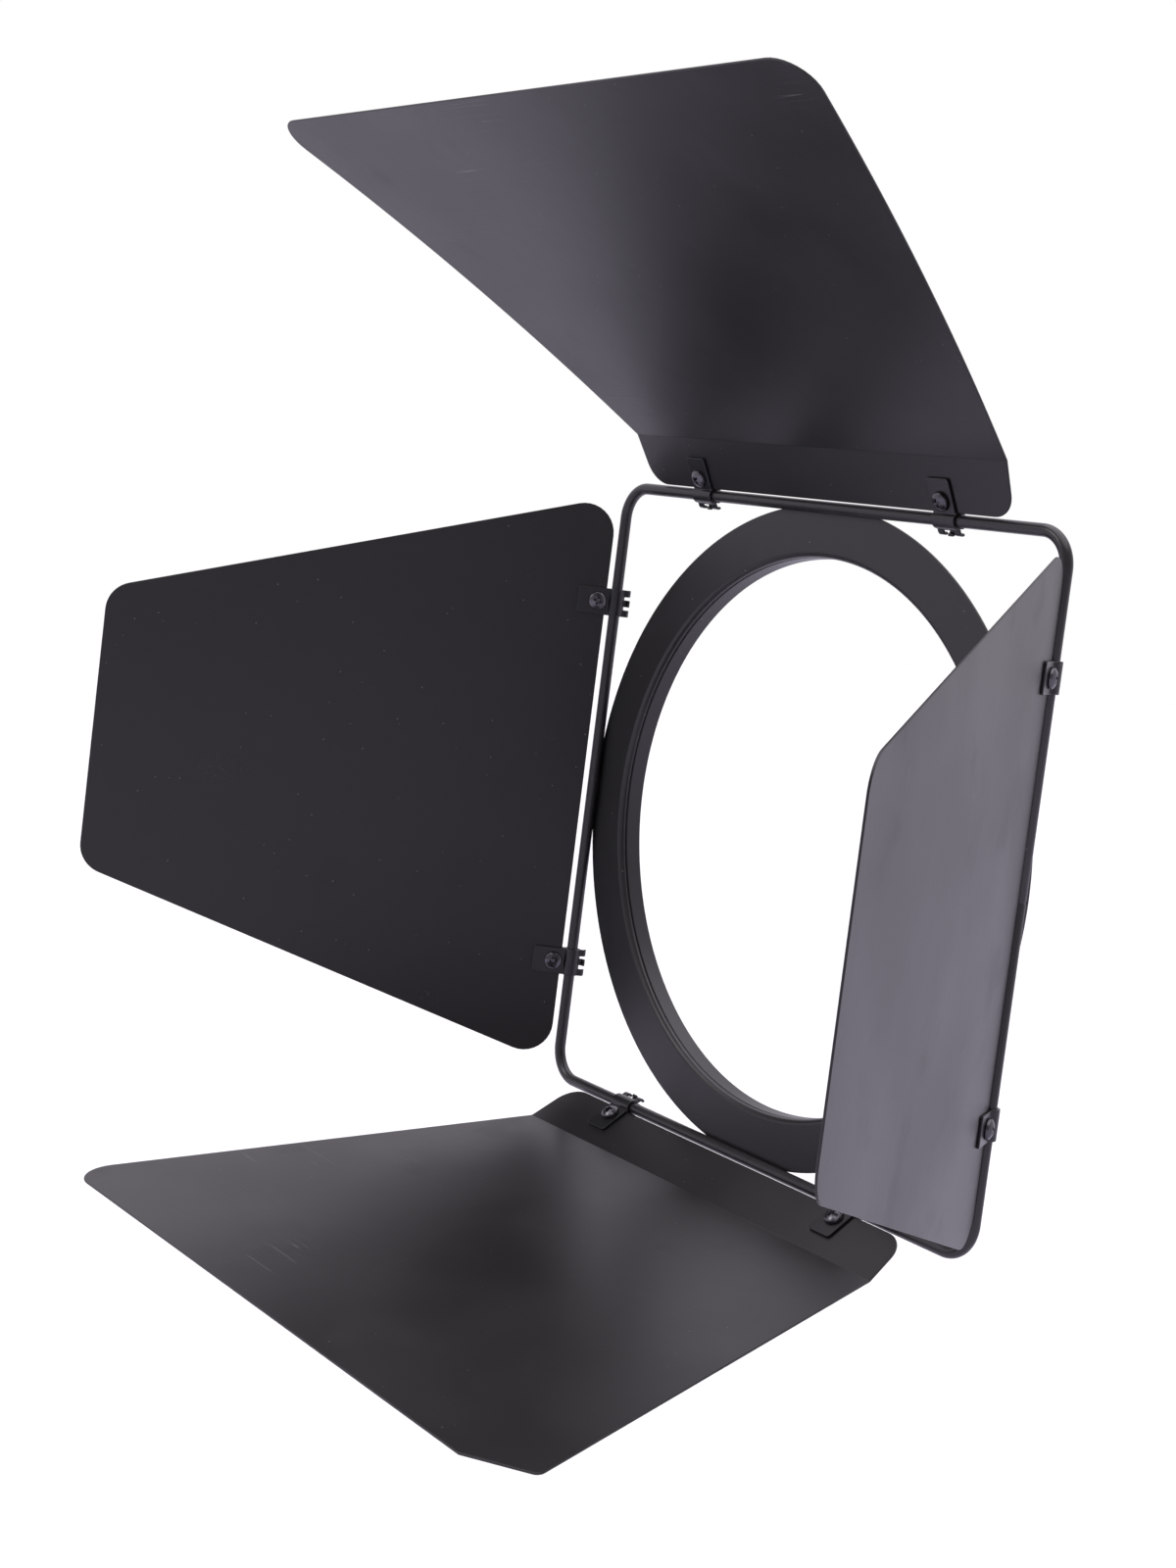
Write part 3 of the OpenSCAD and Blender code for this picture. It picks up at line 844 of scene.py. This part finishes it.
def clip_outline(fingers):
    """Blank of a clip plate: X across, Y from the pad's end to the fingertips."""
    lengths = [run_length(size, bend) for size, bend in CLIP_RUNS]
    comb = sum(lengths[:4]) + COMB_START
    tip = sum(lengths)
    half = CLIP_W / 2
    corners = [(-half, 0, CLIP_PAD_R), (half, 0, CLIP_PAD_R)]
    small = FINGER_CORNER_R
    edges = []
    for middle in sorted(fingers, reverse=True):
        edges += [(middle + FINGER_W / 2, True), (middle - FINGER_W / 2, False)]
    at_edge = abs(edges[0][0] - half) < SAME_EDGE
    if not at_edge:
        corners.append((half, comb, small))
    for x, rising in edges:
        outer = abs(abs(x) - half) < SAME_EDGE
        root = [] if outer else [(x, comb, -small)]
        corners += root + [(x, tip, 2 * small)] if rising else [(x, tip, 2 * small)] + root
    if not at_edge:
        corners.append((-half, comb, small))
    bend_rows, start = [], 0.0
    for run, (size, bend) in zip(lengths, CLIP_RUNS):
        steps = max(1, round(abs(math.degrees(bend)) / BEND_STEP))
        bend_rows += [start + run * k / steps for k in range(steps)]
        start += run
    return rounded_outline(corners, CLIP_CORNER_STEPS), bend_rows[1:]


# Edge wear is set high here, so the plates' edges carry a painted light rim as well as wear
clip_black = black_coat("clip_black", CLIP_BLACK, 0.3, 2600.0, 0.00003, 0.0004, 0.7, 260.0)
finger_offset = (CLIP_W - FINGER_W) / 2
for side, leaf in LEAVES.items():
    for end, end_name in zip((-1, 1), ENDS[side]):
        at_clip = leaf_frame(side) @ Matrix.Translation((end * leaf.clip_pitch / 2, 0, 0))
        for plate, fingers in (("inner", (-finger_offset, finger_offset)), ("outer", (0.0,))):
            turned_over = Matrix.Rotation(0 if plate == "inner" else math.pi, 4, "Y")
            outline, bend_rows = clip_outline(fingers)
            hole = round_hole(0, CLIP_REACH - SCREW_V, HOLE_R)
            points, faces, normals = cut_sheet(
                outline, [hole], clip_section, bend_rows, CLIP_T, CLIP_EDGE_R
            )
            node = f"{side}_{end_name}_clip_{plate}"
            finish_piece(
                f"{node}_plate", points, faces, at_clip @ turned_over, clip_black,
                f"{side}_door", node, normals,
            )

# ---- Screws and nuts ----
# One M4 pan-head screw goes through each clip from the side that its heads are on, into a plain
# hexagon nut. Both are steel with a black zinc plate, which is glossier than the coat.

SCREW_R = 2 * mm
THREAD_PITCH = 0.7 * mm
THREAD_DEPTH = 0.36 * mm
HEAD_R = 3.7 * mm
HEAD_H = 2.4 * mm
HEAD_DOME_R = 5.5 * mm
NUT_AF = 7 * mm
NUT_H = 3.2 * mm
NUT_BORE_R = 2.05 * mm
SCREW_END = 0.8 * mm
RECESS_L = 4.2 * mm
RECESS_W = 1.1 * mm
RECESS_H = 1.5 * mm
BLADE_TIP_L, BLADE_TIP_W, BLADE_TOP_L = 0.45, 0.8, 1.2
BLADE_ABOVE = 1.1 * mm
RECESS_EDGE_R = 0.08 * mm
HEAD_RIM_R = 0.35 * mm
DOME_START = 0.93
TIP_CHAMFER = 0.4 * mm
SHANK_LAP = 0.3 * mm
WELD_DIST = 0.001 * mm
HEAD_SIDES = 64
THREAD_SIDES = 40
THREAD_ROWS = 8
RUN_OUT_ROWS = 3
NUT_SIDES = 72
NUT_FACE = 0.96
NUT_CHAMFER = math.radians(30)
NUT_SINK = 0.25 * mm
EASED_OVER = math.radians(35)
SHARP_OVER = math.radians(40)
SCREW_BLACK = (0.10, 0.098, 0.108)

# Full edge wear gives the head's rim and recess edges a painted light rim as well as wear
screw_black = black_coat(
    "screw_black", SCREW_BLACK, 0.25, 3000.0, 0.00002, 0.0003, 1.0, 300.0, metal=0.95
)
SEAT = LEAF_T / 2 + CLIP_T
GRIP = 2 * SEAT + NUT_H + SCREW_END


def closed_piece(name, points, faces):
    """A scratch object with welded points and faces that all look outwards."""
    mesh = bpy.data.meshes.new(name)
    mesh.from_pydata(points, [], faces)
    solid = bmesh.new()
    solid.from_mesh(mesh)
    bmesh.ops.remove_doubles(solid, verts=solid.verts, dist=WELD_DIST)
    bmesh.ops.recalc_face_normals(solid, faces=solid.faces)
    solid.to_mesh(mesh)
    solid.free()
    piece = bpy.data.objects.new(name, mesh)
    bpy.context.scene.collection.objects.link(piece)
    return piece


def worked(piece):
    """The piece's points and faces after its modifiers; the piece itself is cleared away."""
    bpy.context.view_layer.update()
    depsgraph = bpy.context.evaluated_depsgraph_get()
    shape = bpy.data.meshes.new_from_object(piece.evaluated_get(depsgraph))
    bpy.data.objects.remove(piece)
    return [tuple(v.co) for v in shape.vertices], [tuple(p.vertices) for p in shape.polygons]


def combined(piece, other, operation):
    step = piece.modifiers.new(operation.lower(), "BOOLEAN")
    step.object = other
    step.operation = operation
    step.solver = "EXACT"


def ring_of(radius, z, steps):
    return [
        (radius * math.cos(a), radius * math.sin(a), z)
        for a in (2 * math.pi * i / steps for i in range(steps))
    ]


def driver_bar(turn):
    """One blade of the driver's tip: narrower at the bottom of the recess."""
    rings = []
    for z, length, width in (
        (HEAD_H - RECESS_H, RECESS_L * BLADE_TIP_L, RECESS_W * BLADE_TIP_W),
        (HEAD_H + BLADE_ABOVE, RECESS_L * BLADE_TOP_L, RECESS_W),
    ):
        quarter = Matrix.Rotation(math.radians(turn), 3, "Z")
        rings.append([
            tuple(quarter @ Vector((x * length / 2, y * width / 2, z)))
            for x, y in ((-1, -1), (1, -1), (1, 1), (-1, 1))
        ])
    return closed_piece("driver_bar", *capped(rings))


def pan_head():
    """The head, seated on Z = 0, with its cross recess struck and its sharp edges eased."""
    dome_low = math.degrees(math.acos(DOME_START * HEAD_R / HEAD_DOME_R))
    section = arc((HEAD_R - HEAD_RIM_R, HEAD_RIM_R), HEAD_RIM_R, -90, 0, 4)
    section += arc((0, HEAD_H - HEAD_DOME_R), HEAD_DOME_R, dome_low, 90, 14)[:-1]
    head = closed_piece("pan_head", *capped([ring_of(r, z, HEAD_SIDES) for r, z in section]))
    blades = [driver_bar(turn) for turn in (0, 90)]
    for blade in blades:
        combined(head, blade, "DIFFERENCE")
    ease = head.modifiers.new("eased_edges", "BEVEL")
    ease.width = RECESS_EDGE_R
    ease.segments = 2
    ease.limit_method = "ANGLE"
    ease.angle_limit = EASED_OVER
    shape = worked(head)
    for blade in blades:
        bpy.data.objects.remove(blade)
    return shape


def screw_shank():
    """Threaded shank with a chamfered tip, up to just inside the head."""
    rows = round((GRIP - TIP_CHAMFER) / THREAD_PITCH * THREAD_ROWS)
    rings = [ring_of(SCREW_R - TIP_CHAMFER, -GRIP, THREAD_SIDES)]
    for k in range(rows + 1):
        z = (TIP_CHAMFER - GRIP) * (1 - k / rows)
        run_out = min(1.0, min(k, rows - k) / RUN_OUT_ROWS)
        ring = []
        for i, (x, y, _) in enumerate(ring_of(1, 0, THREAD_SIDES)):
            phase = (z / THREAD_PITCH - i / THREAD_SIDES) % 1.0
            radius = SCREW_R - THREAD_DEPTH * run_out * (1 - abs(2 * phase - 1))
            ring.append((radius * x, radius * y, z))
        rings.append(ring)
    rings.append(ring_of(SCREW_R, SHANK_LAP, THREAD_SIDES))
    return capped(rings)


def hexagon_nut():
    """Six flats with both faces' corners chamfered, and a plain bore countersunk at both ends."""
    flat_r = NUT_AF / 2
    sunk_r = NUT_BORE_R + NUT_SINK
    columns = []
    for i in range(NUT_SIDES):
        a = 2 * math.pi * i / NUT_SIDES
        off_flat = (math.degrees(a) + 30) % 60 - 30
        corner_r = flat_r / math.cos(math.radians(off_flat))
        face_r = flat_r * NUT_FACE
        drop = (corner_r - face_r) * math.tan(NUT_CHAMFER)
        section = [
            (sunk_r, 0), (face_r, 0), (corner_r, drop),
            (corner_r, NUT_H - drop), (face_r, NUT_H), (sunk_r, NUT_H),
            (NUT_BORE_R, NUT_H - NUT_SINK), (NUT_BORE_R, NUT_SINK),
        ]
        columns.append([(r * math.cos(a), r * math.sin(a), z) for r, z in section])
    return skin(columns, True, True)


head = closed_piece("pan_head", *pan_head())
shank = closed_piece("screw_shank", *screw_shank())
combined(head, shank, "UNION")
screw_points, screw_faces = worked(head)
bpy.data.objects.remove(shank)
nut_points, nut_faces = hexagon_nut()
turned_by = random.Random(4)
for side, leaf in LEAVES.items():
    for end, end_name in zip((-1, 1), ENDS[side]):
        at_screw = (
            leaf_frame(side)
            @ Matrix.Translation((end * leaf.clip_pitch / 2, SCREW_V, 0))
            @ Matrix.Rotation(0 if leaf.heads > 0 else math.pi, 4, "Y")
        )
        slack = Matrix.Rotation(turned_by.uniform(0, math.pi), 4, "Z")
        screw = finish_piece(
            f"{side}_{end_name}_screw_turned", screw_points, screw_faces,
            at_screw @ Matrix.Translation((0, 0, SEAT)) @ slack,
            screw_black, f"{side}_door", f"{side}_{end_name}_screw",
        )
        nut = finish_piece(
            f"{side}_{end_name}_nut_hex", nut_points, nut_faces,
            at_screw @ Matrix.Translation((0, 0, -SEAT - NUT_H)),
            screw_black, f"{side}_door", f"{side}_{end_name}_nut",
        )
        for piece in (screw, nut):
            piece.data.set_sharp_from_angle(angle=SHARP_OVER)
